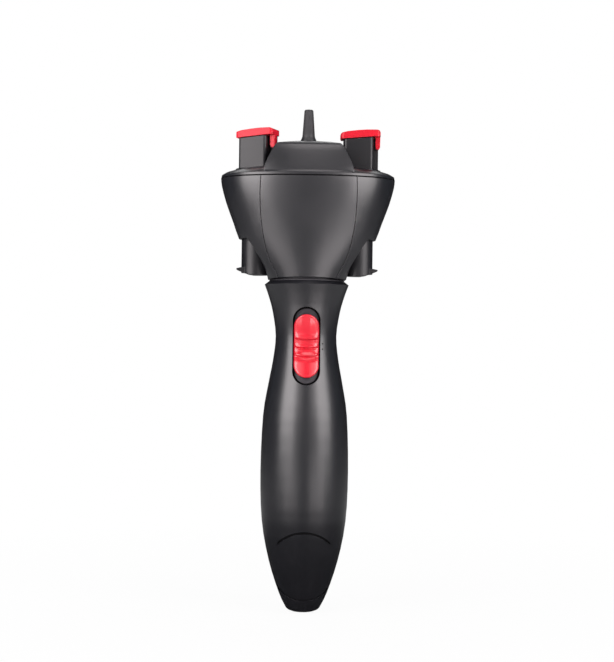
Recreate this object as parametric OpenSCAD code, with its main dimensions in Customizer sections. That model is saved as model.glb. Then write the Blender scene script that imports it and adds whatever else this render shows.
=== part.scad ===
// Automatic hair braider: a handle with motor and cells, a turning head, and two towers
// that twist a strand each. Front is -Y, the axis of handle and head is Z, the tail stands at z = 0.

/* [Handle] */
// Height of the handle's top edge
handle_h = 141.5; // [138:0.5:146]
// Width where the rounded end of the tail starts
tail_w = 14.4; // [12:0.1:17]
// Width of the belly, which holds the cells
belly_w = 37.6; // [37:0.1:41]
// Height of the widest place of the belly
belly_z = 60; // [54:1:66]
// Width of the waist
waist_w = 26; // [25.6:0.1:28]
// Height of the waist
waist_z = 118; // [116:0.5:121]
// Width of the collar at the top
collar_w = 36; // [35:0.1:39]
// Height of the bevel above the collar's widest edge
collar_bevel = 1.6; // [1:0.1:2.4]
// Wall of the handle's shells
wall = 1.8; // [1.5:0.1:2]

/* [Switch] */
// Width of the oval slot in the front shell
slot_w = 11.7; // [11:0.1:12.5]
// Length of the oval slot
slot_l = 33; // [32:0.5:35]
// Height of the middle of the slot
slot_z = 113.9; // [112.5:0.1:115]
// Travel of the switch to each side of its middle place
switch_travel = 3; // [2:0.1:3.5]
// How far the knob stands out of the handle
knob_proud = 1.3; // [0.8:0.1:2]

/* [Head] */
// Height of the bowl, from its lowest edge to the seam under the cover
bowl_h = 42.8; // [42:0.1:45]
// Width of the head over its wings
head_w = 74.4; // [73:0.2:80]
// Depth of the head at its rim
head_d = 46; // [45:0.2:50]
// Width of the bowl's lower end
bowl_low_w = 34.4; // [34:0.1:37]
// Depth of the bowl's lower end
bowl_low_d = 33; // [32:0.1:35]
// Wall of the head's shells
head_wall = 1.7; // [1.4:0.1:1.9]
// Height of the crown of the top cover
crown_h = 4.3; // [4:0.1:5]
// Height of the spike's foot on the dome above the crown
dome_h = 13.4; // [12.5:0.1:15]
// Height of the parting spike above the dome
spike_h = 12.5; // [9:0.5:15]
// Radius of the spike at its tip
spike_tip_r = 1.9; // [1.4:0.01:2.2]

/* [Towers] */
// Radius of the turntable under each tower
table_r = 9; // [8.9:0.05:9.2]
// Depth of the tower's block
tower_d = 9; // [8.6:0.1:9.6]
// Height of the tower's block above the crown, on its low side
tower_h = 13; // [12:0.1:14]
// Turn of the left tower at rest
left_turn = -20; // [-30:1:0]
// Turn of the right tower at rest
right_turn = 0; // [-10:1:10]
// Travel of the hooks and of the levers that lift them
lift = 6.5; // [4:0.1:6.5]
// Radius of the hook's rod
rod_r = 1.6; // [1.4:0.05:1.7]

/* [Levers] */
// Outer radius of the lever's sleeve
sleeve_r = 6.1; // [6:0.05:6.3]
// Wall of the lever's sleeve
sleeve_wall = 1.2; // [1:0.05:1.3]
// Reach of the finger ledge from the tower's axis
ledge_reach = 8.1; // [7:0.1:9]

/* [Gears] */
// Teeth of the sun gear on the drive shaft
sun_teeth = 24; // [24]
// Teeth of each spindle gear
spindle_teeth = 20; // [20]
// Width of the gears' rims
gear_w = 5.5; // [4:0.1:5.8]
// Radius of the drive shaft
shaft_r = 3; // [2.8:0.1:3]

/* [Power] */
// Room round the cells for the tray and its play
cell_room = 2.5; // [2.4:0.1:3]
// Length of each cell's can
cell_l = 49.2; // [48:0.1:49.5]
// Width of the motor over its round sides
motor_w = 20; // [19:0.1:20.5]
// Thickness of the motor between its flats
motor_t = 15; // [14:0.1:15.1]
// Length of the motor's can
motor_l = 20; // [18:0.5:21]
// Radius of the gearbox
gearbox_r = 6.3; // [6:0.1:6.5]

/* [Fits] */
// Radial clearance of a running fit
run_fit = 0.05; // [0.03:0.01:0.1]
// Gap between pieces that lie against each other
lay_gap = 0.3; // [0.25:0.01:0.35]
// Gap at a seam between two shells
seam_gap = 0.2; // [0.1:0.05:0.3]
// Gap between the head and the handle
neck_gap = 0.5; // [0.4:0.1:0.8]

/* [Hidden] */
$fn = 72;
eps = 0.01;
far = 200;

black = [0.09, 0.09, 0.10];
soft_black = [0.16, 0.16, 0.17];
red = [0.86, 0.07, 0.11];
steel = [0.72, 0.73, 0.75];
green = [0.13, 0.36, 0.2];
cell_blue = [0.2, 0.32, 0.5];
cream = [0.86, 0.84, 0.78];

// ---- Lists and curves ----
function mix(a, b, t) = a + (b - a) * t;
function spread(a, b, shares) = [for (s = shares) [mix(a.x, b.x, s.x), mix(a.y, b.y, s.y)]];
function spline(p, i, t) = let (a = p[max(i - 1, 0)], b = p[i], c = p[i + 1],
    d = p[min(i + 2, len(p) - 1)])
    0.5 * (2 * b + (c - a) * t + (2 * a - 5 * b + 4 * c - d) * t * t
    + (3 * b - a - 3 * c + d) * t * t * t);
function smooth(p, steps) = concat([for (i = [0:len(p) - 2], k = [0:steps - 1])
    spline(p, i, k / steps)], [p[len(p) - 1]]);
function reversed(p) = [for (i = [len(p) - 1:-1:0]) p[i]];
// Value at z of a list of [z, value]
function at(p, z, i = 0) = i >= len(p) - 2 || z <= p[i + 1].x
    ? mix(p[i].y, p[i + 1].y, (z - p[i].x) / (p[i + 1].x - p[i].x)) : at(p, z, i + 1);

// ---- Shared shapes ----
module ring(outer, inner, h) {
    difference() {
        cylinder(r = outer, h = h);
        translate([0, 0, -1]) cylinder(r = inner, h = h + 2);
    }
}
module rounded(w, d, r) {
    square([w - 2 * r, d], center = true);
    square([w, d - 2 * r], center = true);
    for (x = [-1, 1], y = [-1, 1]) translate([x * (w / 2 - r), y * (d / 2 - r)]) circle(r);
}
module stadium(w, l) {
    square([w, l - w], center = true);
    for (y = [-1, 1]) translate([0, y * (l - w) / 2]) circle(w / 2);
}
// Draws its child in the X-Z plane and extrudes it from y0 to y1
module along_y(y0, y1) {
    translate([0, y1, 0]) rotate([90, 0, 0]) linear_extrude(y1 - y0) children();
}
// One tube wound round the Z axis from the origin up
module coil(r, wire, h, curls) {
    sides = 6;
    steps = 8 * curls;
    rings = [for (i = [0:steps]) [for (k = [0:sides - 1])
        let (a = 360 * curls * i / steps, b = 360 * k / sides, q = r + wire * cos(b))
        [q * cos(a), q * sin(a), wire + (h - 2 * wire) * i / steps + wire * sin(b)]]];
    echo(coil_gap = (curls > 1 ? (h - 2 * wire) / curls : 2 * r * sin(180 * (1 - curls))) - 2 * wire);
    tube(rings);
}
// Closed skin over rings of points with as many points each, from bottom to top
module tube(rings) {
    n = len(rings[0]);
    m = len(rings);
    function at_ring(i, k) = i * n + k % n;
    polyhedron([for (r = rings) each r], concat(
        [[for (k = [0:n - 1]) k]],
        [[for (k = [n - 1:-1:0]) at_ring(m - 1, k)]],
        [for (i = [0:m - 2], k = [0:n - 1]) [at_ring(i, k), at_ring(i + 1, k), at_ring(i + 1, k + 1)]],
        [for (i = [0:m - 2], k = [0:n - 1]) [at_ring(i, k), at_ring(i + 1, k + 1), at_ring(i, k + 1)]]));
}
// Rings of rounded ovals from a list of [z, half width, half depth]
oval_power = 2.25;
function rooted(v) = sign(v) * pow(abs(v), 2 / oval_power);
function oval(s, grow, n) = [for (k = [0:n - 1]) let (a = 360 * k / n)
    [(s[1] + grow) * rooted(cos(a)), (s[2] + grow) * rooted(sin(a)), s[0]]];
module loft(stations, grow = 0, n = 40) tube([for (s = stations) oval(s, grow, n)]);

// ---- Outline of the handle: [height, radius] ----
tail_edge = [1.8, tail_w / 2];
belly = [belly_z, belly_w / 2];
waist = [waist_z, waist_w / 2];
collar = [handle_h - collar_bevel, collar_w / 2];
handle_side = smooth(concat([tail_edge],
    spread(tail_edge, belly, [[0.11, 0.27], [0.35, 0.66], [0.64, 0.93]]), [belly],
    spread(belly, waist, [[0.41, 0.14], [0.645, 0.5], [0.82, 0.82]]), [waist],
    spread(waist, collar, [[0.47, 0.28], [0.785, 0.66]]), [collar]), 3);
tail_end = [for (a = [0:22.5:67.5]) [tail_edge.x * (1 - sin(90 - a)), tail_edge.y * sin(a) * 0.96]];
function handle_r(z) = at(handle_side, z);
cavity_z = 8;
cavity_top = handle_h - 1.9;
// Solid of the handle, drawn in by inset
module handle_solid(inset = 0, bottom = 0) {
    if (inset == 0)
        rotate_extrude() polygon([for (p = concat(tail_end, handle_side,
            [[handle_h, collar_w / 2 - 2], [handle_h, 0]])) [p.y, p.x]]);
    else
        rotate_extrude() polygon([for (p = concat([[bottom, 0], [bottom, handle_r(bottom) - inset]],
            [for (q = handle_side) if (q.x > bottom + 1 && q.x < cavity_top - 0.5) [q.x, q.y - inset]],
            [[cavity_top, handle_r(cavity_top) - inset], [cavity_top, 0]])) [p.y, p.x]]);
}
// Half space at the front (-1) or the rear (1) of the handle
module half(side) {
    translate([-far / 2, side < 0 ? -far : 0, -far / 2]) cube([far, far, 2 * far]);
}

// ---- Places that follow the outer sizes ----
cell_d = belly_w / 2 - wall - cell_room;
tower_x = 0.2957 * head_w;
gear_module = 2 * tower_x / (sun_teeth + spindle_teeth);

// ---- Levels of the handle's inside ----
cell_z = 33.4;
cell_play = 0.15;
cell_x = cell_d / 2 + cell_play;
nub_h = 1.3;
nub_r = 2.7;
plate_t = 0.4;
tray_wall = 1.2;
tray_z = 27.4;
spring_low_z = tray_z + tray_wall + plate_t;
contact_high_z = cell_z + cell_l + nub_h + 0.1;
tray_top_z = contact_high_z + plate_t;
bay_w = 29;
bay_z0 = tray_z - 2;
bay_z1 = tray_top_z + tray_wall + 1;
motor_z = bay_z1 + 1.6;
end_cap_l = 5;
gearbox_z = motor_z + motor_l;
gearbox_l = 15.5;
gearbox_flange = 1.5;
nose_r = 4.2;
nose_l = 1.8;
gearbox_top = gearbox_z + gearbox_l;
screw_r = 1.4;
screw_head_r = 2.2;
boss_r = 2.4;
boss_hole_r = 1.1;
seat_boss_r = screw_head_r + lay_gap + 1;
// Places of the case screws: [x, z], one in the tail and two pairs whose bosses lean on the wall
function beside(z) = handle_r(z) - wall - boss_r + 0.2;
screw_places = concat([[0, 15]],
    [for (z = [motor_z + 3.5, gearbox_top + 0.8], side = [-1, 1]) [side * beside(z), z]]);
screw_seat = 3.2;
screw_bite = 4.5;

// ---- Handle ----
groove_top = 36.3;
groove_drop = 4.8;
groove_l = 22.2;
groove_w = 0.95;
groove_depth = 0.6;
// Groove that rises to groove_top in the middle and falls by groove_drop at its ends
module tail_groove() {
    arc_r = (pow(groove_l / 2, 2) + pow(groove_drop, 2)) / (2 * groove_drop);
    difference() {
        along_y(-far, 0) intersection() {
            translate([0, groove_top - arc_r]) difference() {
                circle(arc_r, $fn = 96);
                circle(arc_r - groove_w, $fn = 96);
            }
            translate([-groove_l / 2, 0]) square([groove_l, far]);
        }
        handle_solid(groove_depth, 1);
    }
}
// Round bar along Y at the place [x, z], for a boss or a bore
module bar(p, r, from_y, to_y) {
    translate([p.x, to_y, p.y]) rotate([90, 0, 0]) cylinder(r = r, h = to_y - from_y);
}
// Room that the motor and its gearbox take
module motor_room() {
    translate([0, 0, motor_z - lay_gap]) linear_extrude(motor_l + gearbox_flange + 2 * lay_gap)
        motor_section(lay_gap);
    translate([0, 0, gearbox_z]) cylinder(r = gearbox_r + lay_gap, h = gearbox_l + lay_gap);
}
// Two pin marks beside the switch
pin_x = 6.8;
pin_places = [112.6, 114.9];
pin_r = 0.3;
pin_depth = 0.5;
// Space that a round neck bush, the hub and its clip take at the top
bush_r = 12;
bush_flange_r = 13.2;
bush_flange_t = 1.5;
neck_play = 0.15;
bush_z = handle_h - 7.5;
hub_r = 9;
hub_bore_r = 6;
hub_z = handle_h - 11;
clip_t = 1.4;
clip_r = 10.9;
rib_t = 1.6;
rib_shares = [0.4, 0.75];
module motor_ribs(side) {
    for (share = rib_shares) let (z = motor_z + share * motor_l)
        intersection() {
            translate([-far / 2, -far / 2, z]) cube([far, far, rib_t]);
            difference() {
                handle_solid(wall - eps, cavity_z);
                translate([0, 0, z - 1]) linear_extrude(rib_t + 2) motor_section(lay_gap / 2);
                translate([-far / 2, side < 0 ? -eps : -far, 0]) cube([far, far + eps, far]);
            }
        }
}
module handle_front_shell() color(black) difference() {
    intersection() {
        union() {
            difference() {
                handle_solid();
                handle_solid(wall, cavity_z);
            }
            intersection() {
                handle_solid(0.5, 2);
                for (p = screw_places) bar(p, boss_r, -far, 0);
            }
            motor_ribs(-1);
        }
        half(-1);
    }
    // Room for the track plate among ribs and bosses
    intersection() {
        handle_solid(wall, cavity_z);
        translate([0, 0, slot_z]) along_y(-far, -6.8) stadium(track_w + 2 * lay_gap, track_l + 2 * lay_gap);
    }
    for (p = screw_places) bar(p, boss_hole_r, -screw_bite - lay_gap, 1);
    translate([0, 0, slot_z]) along_y(-far, 0) stadium(slot_w, slot_l);
    translate([0, 0, cavity_top - 1]) cylinder(r = bush_r + run_fit, h = 5);
    tail_groove();
    for (z = pin_places)
        bar([pin_x, z], pin_r, -far, pin_depth - sqrt(pow(handle_r(z), 2) - pow(pin_x, 2)));
}
module bay(gap) along_y(0, far) translate([0, (bay_z0 + bay_z1) / 2])
    rounded(bay_w - 2 * gap, bay_z1 - bay_z0 - 2 * gap, 4);
module handle_rear_shell() color(black) difference() {
    intersection() {
        union() {
            difference() {
                handle_solid();
                handle_solid(wall, cavity_z);
            }
            intersection() {
                handle_solid(0.5, 2);
                difference() {
                    for (p = screw_places) bar(p, seat_boss_r, -1, far);
                    motor_room();
                }
            }
            motor_ribs(1);
        }
        half(1);
    }
    for (p = screw_places) {
        bar(p, screw_r + run_fit, -1, far);
        bar(p, screw_head_r + lay_gap, screw_seat, far);
    }
    translate([0, 0, cavity_top - 1]) cylinder(r = bush_r + run_fit, h = 5);
    bay(0);
}
grip_lines = 5;
module battery_cover() color(black) difference() {
    intersection() {
        difference() {
            handle_solid();
            handle_solid(wall, cavity_z);
        }
        bay(seam_gap);
    }
    for (i = [0:grip_lines - 1])
        translate([0, 0, bay_z1 - 6 - 2.2 * i]) rotate([0, 0, 60]) rotate_extrude(angle = 60)
            translate([handle_r(bay_z1 - 6 - 2.2 * i) - 0.5, -0.5]) square([2, 1]);
}
module neck_bush() color(soft_black) difference() {
    union() {
        translate([0, 0, bush_z]) cylinder(r = bush_r, h = bowl_z - neck_play - bush_z);
        translate([0, 0, cavity_top - bush_flange_t]) cylinder(r = bush_flange_r, h = bush_flange_t);
        // Collar that fills the gap under the head
        translate([0, 0, handle_h + 0.02]) {
            cylinder(r = bowl_low_w / 2 - 1.2, h = neck_gap - 0.02 - neck_play);
            ring(bowl_low_w / 2 - 1.6, base_r + lay_gap + 0.1, neck_gap + 0.03);
        }
    }
    translate([0, 0, bush_z - 1]) cylinder(r = hub_r + run_fit, h = far);
}
module case_screws() color(steel) for (p = screw_places) translate([p.x, screw_seat, p.y])
    rotate([90, 0, 0]) {
        cylinder(r = boss_hole_r - 0.02, h = screw_seat + screw_bite);
        cylinder(r = screw_r, h = screw_seat - 0.3);
        translate([0, 0, -1.6]) difference() {
            cylinder(r = screw_head_r, h = 1.6);
            translate([0, 0, 0.4]) cube([0.8, 2.8, 1], center = true);
            translate([0, 0, 0.4]) cube([2.8, 0.8, 1], center = true);
        }
    }

// ---- Switch ----
track_t = 1;
track_gap = 0.1;
track_w = slot_w + 4;
track_l = slot_l + 4;
knob_l = slot_l - 2 * switch_travel - 0.3;
knob_w = slot_w - 1.1;
knob_under = 0.8;
knob_ribs = [-3.5, 0, 3.5];
dish_z = slot_z - 0.6;
knob_rib_r = 0.6;
dish_r = 11;
dish_depth = 0.9;
dish_floor = handle_r(slot_z) + knob_proud - dish_depth;
skin_reach = slot_l / 2 + 3.5;
// Skin that follows the handle between two insets, inside an oval seen from the front
module oval_skin(outer, inner, w, l) intersection() {
    difference() {
        union() {
            handle_solid();
            if (outer < 0) rotate_extrude() polygon([for (p = concat([[slot_z - skin_reach, 0]],
                [for (k = [-10:10]) let (z = slot_z + k * skin_reach / 10) [z, handle_r(z) - outer]],
                [[slot_z + skin_reach, 0]])) [p.y, p.x]]);
        }
        handle_solid(inner, cavity_z);
        if (outer > 0) difference() {
            translate([-far / 2, -far, 0]) cube([far, 2 * far, far]);
            handle_solid(outer, cavity_z);
        }
    }
    translate([0, 0, slot_z]) along_y(-far, 0) stadium(w, l);
}
module switch_track() color(soft_black) difference() {
    oval_skin(wall + track_gap, wall + track_gap + track_t, track_w, track_l);
    translate([0, 0, slot_z]) along_y(-far, 0) stadium(2.6, 2.6 + 2 * switch_travel + 2);
}
stem_y = 9.9;
body_front_y = 9.3;
module switch_knob() color(red) {
    difference() {
        oval_skin(-knob_proud, knob_under, knob_w, knob_l);
        // Dished middle
        rotate_extrude() translate([dish_floor + dish_r, dish_z]) circle(dish_r);
    }
    // Ribs that stand in the dish
    intersection() {
        rotate_extrude() for (z = knob_ribs)
            translate([dish_floor + dish_r - sqrt(pow(dish_r, 2) - pow(z, 2)), dish_z + z])
                circle(knob_rib_r, $fn = 24);
        translate([0, 0, slot_z]) along_y(-far, 0) stadium(knob_w - 0.1, knob_l);
    }
    translate([0, -handle_r(slot_z) + knob_under / 2, slot_z]) rotate([-90, 0, 0])
        cylinder(r = 1.1, h = handle_r(slot_z) - knob_under / 2 - stem_y + 0.4);
}
board_w = 12;
board_l = 15;
board_t = 0.8;
board_y = 7.3;
switch_body_w = 6;
switch_body_l = 11;
module switch_body() color(soft_black)
    translate([-switch_body_w / 2, -body_front_y, slot_z - switch_body_l / 2])
        cube([switch_body_w, body_front_y - board_y, switch_body_l]);
module circuit_board() color(green) translate([0, -board_y, gearbox_z + gearbox_flange + 0.4])
    difference() {
        translate([-board_w / 2, 0, 0]) cube([board_w, board_t, board_l]);
        for (x = [-1, 1]) translate([x * (board_w / 2 - 1.2), board_t + 1, board_l - 2])
            rotate([90, 0, 0]) cylinder(r = 0.6, h = board_t + 2);
    }

// ---- Motor and gearbox ----
module motor_section(grow = 0) intersection() {
    circle(motor_w / 2 + grow);
    square([far, motor_t + 2 * grow], center = true);
}
module motor_can() color(steel) translate([0, 0, motor_z + end_cap_l])
    linear_extrude(motor_l - end_cap_l) motor_section();
module motor_end_cap() color(cream) translate([0, 0, motor_z]) {
    linear_extrude(end_cap_l) motor_section(-0.2);
    translate([0, 0, -1.2]) cylinder(r = 3, h = 1.3);
}
module gearbox() color(cream) difference() {
    union() {
        translate([0, 0, gearbox_z]) linear_extrude(gearbox_flange) motor_section(-0.5);
        translate([0, 0, gearbox_z]) cylinder(r = gearbox_r, h = gearbox_l);
        translate([0, 0, gearbox_top - eps]) cylinder(r = nose_r, h = nose_l);
    }
    translate([0, 0, gearbox_top - tang_l - 2]) cylinder(r = shaft_r - 0.5 + run_fit, h = far);
}

// ---- Cells ----
module cells(grow) for (x = [-1, 1]) translate([x * cell_x, 0, 0]) circle(cell_d / 2 + grow);
module battery_tray() color(soft_black) intersection() {
    handle_solid(wall + lay_gap, cavity_z);
    union() {
        difference() {
            translate([0, 0, tray_z]) linear_extrude(tray_top_z + tray_wall - tray_z) difference() {
                cells(cell_play + tray_wall);
                cells(cell_play);
                translate([-far / 2, 0]) square([far, far]);
            }
            // The divider between the cells is notched for the contact plates
            for (z = [tray_z + tray_wall, contact_high_z - cell_play]) translate([0, 0, z])
                linear_extrude(plate_t + cell_play) contact_outline(cell_play);
        }
        for (z = [tray_z, tray_top_z]) translate([0, 0, z]) linear_extrude(tray_wall)
            rounded(4 * cell_x, cell_d, 3);
    }
}
module cell(up) {
    cylinder(r = cell_d / 2, h = cell_l);
    translate([0, 0, up ? cell_l - eps : -nub_h]) cylinder(r = nub_r, h = nub_h + eps);
}
module battery_left() color(cell_blue) translate([-cell_x, 0, cell_z]) cell(true);
module battery_right() color(cell_blue) translate([cell_x, 0, cell_z]) cell(false);
contact_in = 2.5;
module contact_outline(grow)
    rounded(4 * cell_x + 2 * (grow - contact_in), cell_d + 2 * (grow - contact_in), 2);
module contact_plate(z) color(steel) translate([0, 0, z]) linear_extrude(plate_t) contact_outline(0);
module contact_lower() contact_plate(tray_z + tray_wall);
module contact_upper() contact_plate(contact_high_z);
spring_wire = 0.35;
cell_spring_r = 3;
module battery_spring_lower() color(steel) translate([-cell_x, 0, spring_low_z + 0.05])
    coil(cell_spring_r, spring_wire, cell_z - spring_low_z - 0.1, 3);
module battery_spring_upper() color(steel) translate([cell_x, 0, cell_z + cell_l + 0.1])
    coil(cell_spring_r, spring_wire, contact_high_z - cell_z - cell_l - 0.15, 0.75);

// ---- Outline of the head: [height, half width, half depth] ----
bowl_z = handle_h + neck_gap;
rim_z = bowl_z + bowl_h;
crown_z = rim_z + crown_h;
dome_z = crown_z + dome_h;
spike_top = dome_z + spike_h;
// Shares of the growth in width and in depth at shares of the bowl's height
bowl_shares = [[0, 0, 0], [0.05, 0.07, 0.06], [0.17, 0.27, 0.22], [0.29, 0.46, 0.37], [0.41, 0.61, 0.51],
    [0.565, 0.73, 0.68], [0.76, 0.885, 0.87], [0.93, 0.985, 0.98], [1, 1, 1]];
bowl = [for (s = smooth(bowl_shares, 2)) [mix(bowl_z, rim_z, s[0]), mix(bowl_low_w, head_w, s[1]) / 2,
    mix(bowl_low_d, head_d, s[2]) / 2]];
bowl_width = [for (s = bowl) [s[0], s[1]]];
bowl_depth = [for (s = bowl) [s[0], s[2]]];
floor_z = bowl_z + 2;
floor_t = 2;
hollow_z = floor_z + floor_t;
function hollow(z) = [z, at(bowl_width, z), at(bowl_depth, z)];
inside = concat([hollow(hollow_z)], [for (s = bowl) if (s[0] > hollow_z + 1 && s[0] < rim_z) s],
    [[rim_z + 1, head_w / 2, head_d / 2]]);
// Curve over the bowl's front from shares of the towers' distance and of the bowl's height
function front_curve(shares) = smooth([for (s = shares) [s.x * tower_x, s.y * bowl_h]], 2);
// Under the wings the bowl is cut away along this curve, from inside to outside
wing_low = 0.402 * bowl_h;
wing_in = 0.745 * tower_x;
wing_cut = front_curve([[0.745, -0.023], [0.782, 0.058], [0.85, 0.145], [0.955, 0.241], [1.064, 0.332],
    [1.164, 0.402]]);
// Seam between the centre shell and the wings, likewise
seam = front_curve([[0.53, -0.023], [0.561, 0.023], [0.721, 0.185], [0.802, 0.301], [0.848, 0.418],
    [0.882, 0.526], [0.909, 0.664], [0.918, 0.857], [0.904, 1.023]]);
module centre_region(gap) translate([0, bowl_z])
    polygon(concat([for (p = seam) [p.x - gap, p.y]], [for (p = reversed(seam)) [gap - p.x, p.y]]));
module wing_void(inset) translate([0, bowl_z]) polygon(concat(
    [for (p = wing_cut) [p.x - inset, p.y + inset / 2]], [[far, wing_low + inset], [far, -2],
    [wing_in - inset, -2]]));
arch_h = 0.9;
sleeve_room = 3;
arch_r = (pow(bowl_low_w / 2, 2) + pow(arch_h, 2)) / (2 * arch_h);
gear_z = rim_z - 2.2 - lay_gap - gear_w;
plate_low_t = 2;
plate_low_z = gear_z - lay_gap - plate_low_t;
plate_high_t = 1.8;
plate_high_z = rim_z - 0.2 - plate_high_t;
post_r = 2.4;
post_x = 12;
post_y = 16;
pilot_r = 0.8;
pilot_l = 9;
post_l = pilot_l + 5;
post_places = [for (x = [-1, 1], y = [-1, 1]) [x * post_x, y * post_y]];
module head_bowl() difference() {
    loft(bowl);
    difference() {
        loft(inside, -head_wall, 32);
        for (s = [0, 1]) mirror([s, 0, 0]) along_y(-far, far) wing_void(head_wall);
        for (p = post_places) translate([p.x, p.y, plate_low_z - post_l]) cylinder(r = post_r, h = post_l);
    }
    for (s = [0, 1]) mirror([s, 0, 0]) along_y(-far, far) wing_void(0);
    for (s = [-1, 1]) translate([s * tower_x, 0, bowl_z - 2])
        cylinder(r = sleeve_r + lay_gap, h = 2 + wing_low + lift + sleeve_room);
    translate([0, -far / 2, bowl_z + arch_h - arch_r]) rotate([-90, 0, 0])
        cylinder(r = arch_r, h = far, $fn = 180);
    translate([0, 0, bowl_z - 1]) cylinder(r = base_r + lay_gap, h = floor_z - bowl_z + 1);
    translate([0, 0, bowl_z]) cylinder(r = hub_bore_r - 1, h = 10);
    for (p = post_places) translate([p.x, p.y, plate_low_z - pilot_l])
        cylinder(r = pilot_r, h = pilot_l + 1);
}
module head_centre_shell() color(black) intersection() {
    head_bowl();
    along_y(-far, far) centre_region(seam_gap / 2);
}
module wing_shell(side) color(black) difference() {
    intersection() {
        head_bowl();
        translate([side < 0 ? -far : 0, -far / 2, 0]) cube([far, far, 2 * far]);
    }
    along_y(-far, far) centre_region(-seam_gap / 2);
}
module wing_shell_left() wing_shell(-1);
module wing_shell_right() wing_shell(1);

base_r = 14;
base_t = 1.7;
module head_base() color(soft_black) difference() {
    union() {
        translate([0, 0, floor_z - lay_gap - base_t]) cylinder(r = base_r, h = base_t);
        translate([0, 0, hub_z]) cylinder(r = hub_r, h = floor_z - 1 - hub_z);
    }
    translate([0, 0, hub_z - 1]) cylinder(r = hub_bore_r, h = floor_z - 0.6 - hub_z);
    translate([0, 0, hub_z - 1]) cylinder(r = shaft_r + lay_gap, h = far);
    translate([0, 0, hub_z + 1]) ring(hub_r + 1, hub_r - 0.8, clip_t + 0.1);
}
module hub_clip() color(steel) translate([0, 0, hub_z + 1.05]) difference() {
    ring(clip_r, hub_r - 0.8 + 0.05, clip_t);
    translate([-1.5, 0, -1]) cube([3, far, clip_t + 2]);
}
bearing_h = 7;
module one_way_bearing() color(steel) translate([0, 0, hub_z + 3])
    ring(hub_bore_r - 0.02, shaft_r + run_fit, bearing_h);

// ---- Gear train ----
gear_play = 0.12;
// Half angle of a tooth at radius r, for a pressure angle of 20 degrees
function involute(a) = tan(a) * 180 / PI - a;
function tooth_half(n, r) = let (base = gear_module * n / 2 * cos(20))
    90 / n + involute(20) - (r > base ? involute(acos(base / r)) : 0)
    - gear_play / (gear_module * n) * 180 / PI;
module gear(n) {
    pitch = gear_module * n / 2;
    levels = [pitch - 1.15 * gear_module, pitch - 0.45 * gear_module, pitch + 0.2 * gear_module,
        pitch + 0.85 * gear_module];
    flank = [for (r = levels) [r, tooth_half(n, r)]];
    polygon([for (i = [0:n - 1]) let (a = 360 * i / n) each concat(
        [for (p = flank) p.x * [cos(a - p.y), sin(a - p.y)]],
        [for (p = reversed(flank)) p.x * [cos(a + p.y), sin(a + p.y)]])]);
}
hex_spindle = 5.4;
stem_r = 5;
stem_bore_r = 3.1;
journal_low_r = 4.3;
module hexagon(r) circle(r, $fn = 6);
// Length of the shaft inside the gearbox
tang_l = 4;
module drive_shaft() color(steel) {
    translate([0, 0, gearbox_top - tang_l]) cylinder(r = shaft_r - 0.5, h = tang_l + nose_l + 2);
    translate([0, 0, gearbox_top + nose_l + 0.2])
        cylinder(r = shaft_r, h = gear_z - gearbox_top - nose_l - 0.2);
    translate([0, 0, gear_z]) linear_extrude(gear_w) hexagon(shaft_r);
    translate([0, 0, gear_z + gear_w]) cylinder(r = shaft_r - 0.6, h = rim_z - gear_z - gear_w - 0.1);
}
module sun_gear() color(cream) translate([0, 0, gear_z]) difference() {
    linear_extrude(gear_w) gear(sun_teeth);
    translate([0, 0, -1]) linear_extrude(gear_w + 2) hexagon(shaft_r + 0.03);
}
module spindle_gear(side) color(cream) translate([side * tower_x, 0, gear_z]) difference() {
    linear_extrude(gear_w) rotate(180 / spindle_teeth) gear(spindle_teeth);
    translate([0, 0, -1]) linear_extrude(gear_w + 2) hexagon(hex_spindle + 0.03);
}
module spindle_gear_left() spindle_gear(-1);
module spindle_gear_right() spindle_gear(1);
guide_r = sleeve_r - sleeve_wall - 0.1;
guide_wall = 1;
guide_l = 17;
module gear_plate_lower() color(cream) difference() {
    union() {
        translate([0, 0, plate_low_z]) linear_extrude(plate_low_t) plate_shape(plate_low_z);
        for (s = [-1, 1]) translate([s * tower_x, 0, plate_low_z - guide_l])
            cylinder(r = guide_r, h = guide_l);
    }
    for (s = [-1, 1]) translate([s * tower_x, 0, plate_low_z]) {
        translate([0, 0, -guide_l - 1]) cylinder(r = guide_r - guide_wall, h = guide_l + 1);
        translate([0, 0, -1]) cylinder(r = journal_low_r + run_fit, h = 5);
    }
    translate([0, 0, plate_low_z - 1]) cylinder(r = shaft_r + run_fit, h = 5);
    for (p = post_places) translate([p.x, p.y, plate_low_z - 1]) cylinder(r = 1.1, h = 5);
}
// Outline of the bowl's inside at height z
module plate_shape(z) polygon([for (p = oval(hollow(z), -head_wall - lay_gap, 32)) [p.x, p.y]]);
screw_cap_r = 1.9;
screw_cap_h = 1.3;
module gear_plate_upper() color(cream) difference() {
    union() {
        translate([0, 0, plate_high_z]) linear_extrude(plate_high_t) plate_shape(plate_low_z + 3);
        for (p = post_places) translate([p.x, p.y, plate_low_z + plate_low_t])
            cylinder(r = post_r, h = plate_high_z - plate_low_z - plate_low_t + eps);
    }
    for (s = [-1, 1]) translate([s * tower_x, 0, plate_high_z - 1]) cylinder(r = stem_r + run_fit, h = 5);
    translate([0, 0, plate_high_z - 1]) cylinder(r = shaft_r - 0.6 + run_fit, h = 5);
    for (p = post_places) translate([p.x, p.y, 0]) {
        translate([0, 0, plate_low_z]) cylinder(r = 1.1, h = 20);
        translate([0, 0, plate_high_z + plate_high_t - screw_cap_h - 0.1])
            cylinder(r = screw_cap_r + 0.1, h = 5);
    }
}
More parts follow.
